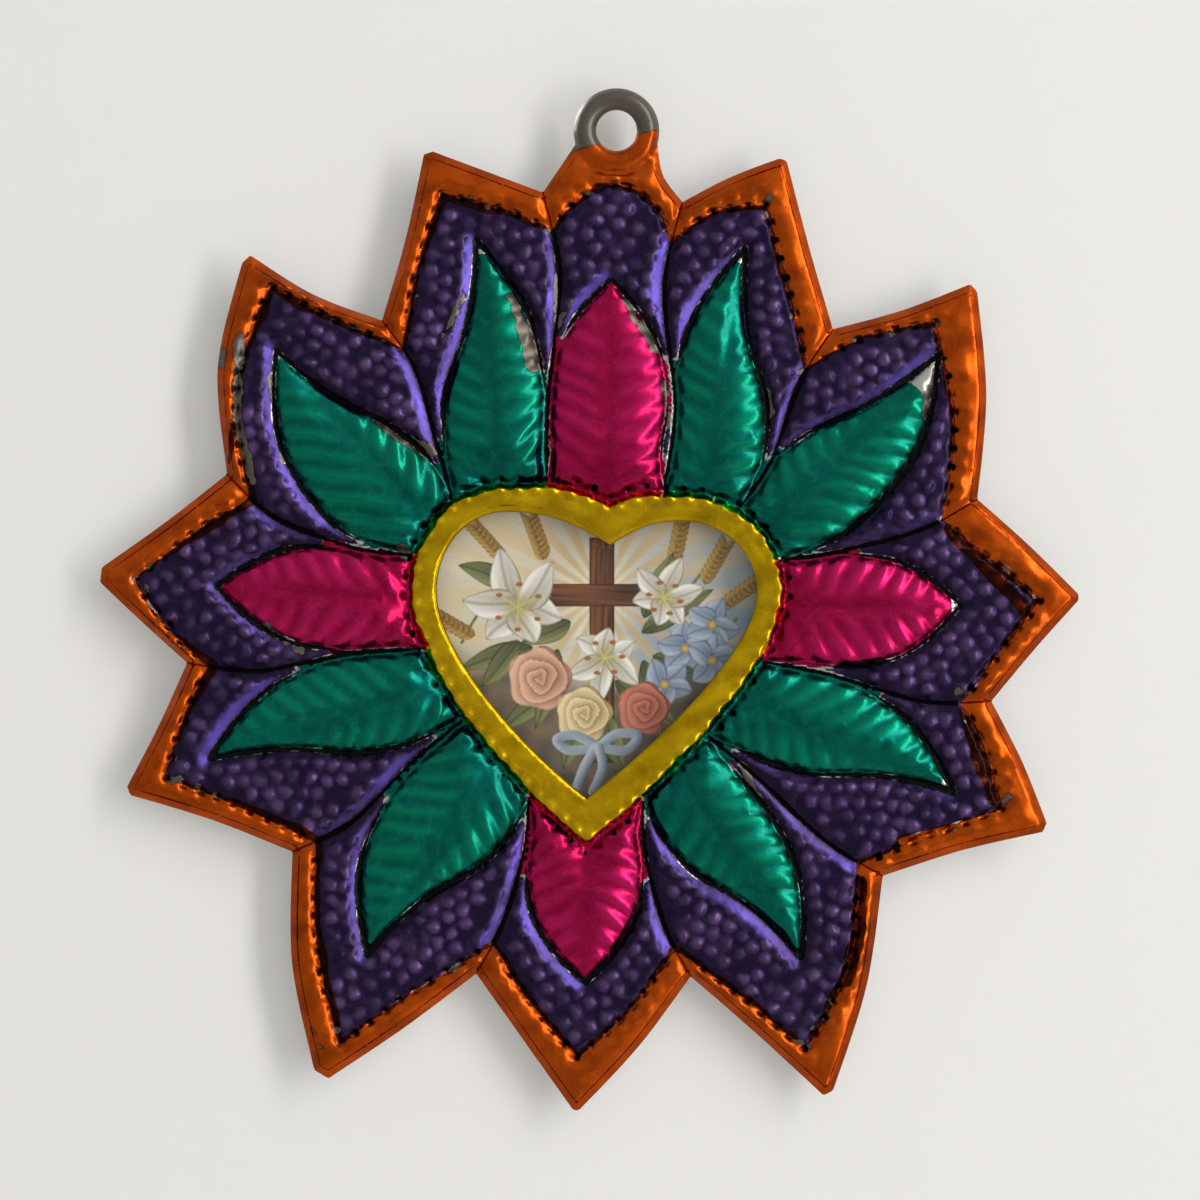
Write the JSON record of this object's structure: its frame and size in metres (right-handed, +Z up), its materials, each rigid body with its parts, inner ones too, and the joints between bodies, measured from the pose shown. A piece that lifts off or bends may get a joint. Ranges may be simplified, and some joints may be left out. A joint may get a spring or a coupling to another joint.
{
  "type": "devotional niche",
  "caption": "Hanging devotional niche of embossed, lacquered tin: a flower of petals and leaves round a heart-shaped window, with a picture card behind it.",
  "frame": {"origin": "middle of the hanging hole, in the plane of the flat of the flower's border", "axes": "+Z up as it hangs, +X to the right seen from the front, +Y from the face back towards the wall"},
  "size_m": [0.1632, 0.0087, 0.1705],
  "materials": {
    "lacquered_tin": "gloss",
    "bare_tin": "satin",
    "solder": "satin",
    "printed_card": "satin",
    "grey_board": "matte"
  },
  "bodies": {
    "root": {"face_sheet": "lacquered_tin", "niche_wall": "bare_tin", "back_plate": "bare_tin", "strap_1": "bare_tin", "strap_2": "bare_tin", "strap_3": "bare_tin", "strap_4": "bare_tin", "seam_solder": "solder", "wall_solder_1": "solder", "wall_solder_2": "solder", "wall_solder_3": "solder", "wall_solder_4": "solder", "wall_solder_5": "solder", "wall_solder_6": "solder", "wall_solder_7": "solder", "wall_solder_8": "solder", "strap_solder_1": "solder", "strap_solder_2": "solder", "strap_solder_3": "solder", "strap_solder_4": "solder", "picture_card": "printed_card", "backing_board": "grey_board"}
  },
  "joints": []
}
